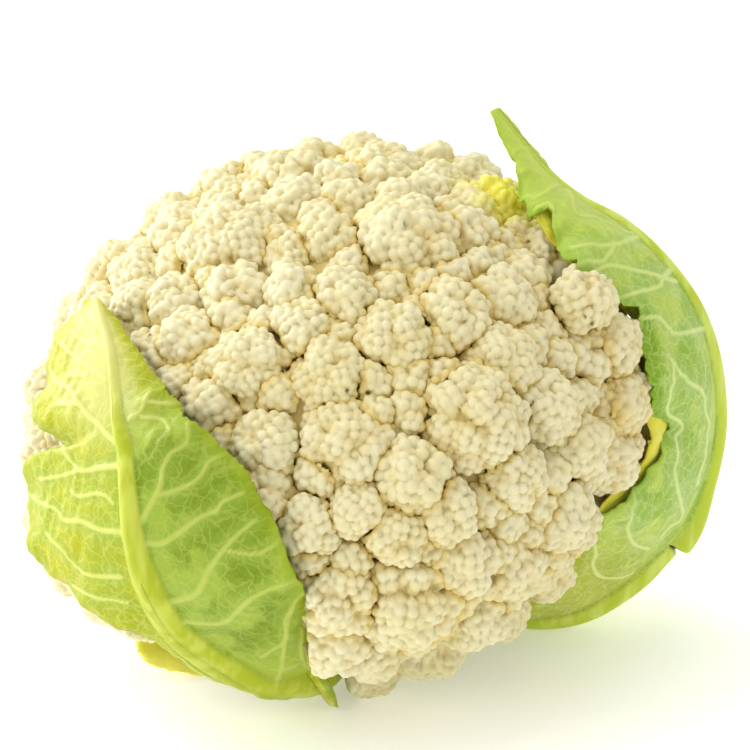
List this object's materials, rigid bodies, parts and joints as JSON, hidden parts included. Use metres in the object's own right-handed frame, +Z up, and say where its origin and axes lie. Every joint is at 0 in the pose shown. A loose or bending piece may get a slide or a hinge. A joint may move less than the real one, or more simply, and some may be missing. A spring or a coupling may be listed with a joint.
{
  "type": "cauliflower head",
  "caption": "Trimmed cauliflower lying on its cut stalk: a domed curd of beaded florets, with large ribbed leaves left round two sides.",
  "frame": {"origin": "on the surface the head lies on, under the middle of its outline seen from above", "axes": "+Z up from the surface, -Y towards the side with the open face of the curd, +X towards the large right leaf"},
  "size_m": [0.2003, 0.1786, 0.1573],
  "materials": {
    "curd": "matt, cream",
    "stalk": "satin, pale green",
    "leaf": "satin, yellow-green with pale veins",
    "yellow_leaf": "satin, pale yellow"
  },
  "bodies": {
    "root": {"curd": "curd", "stalk": "stalk", "leaf_left": "leaf", "leaf_right": "leaf", "leaf_right_inner": "yellow_leaf", "leaf_low_left": "yellow_leaf", "petiole_stub_1": "stalk", "petiole_stub_2": "stalk", "petiole_stub_3": "stalk"}
  },
  "joints": []
}
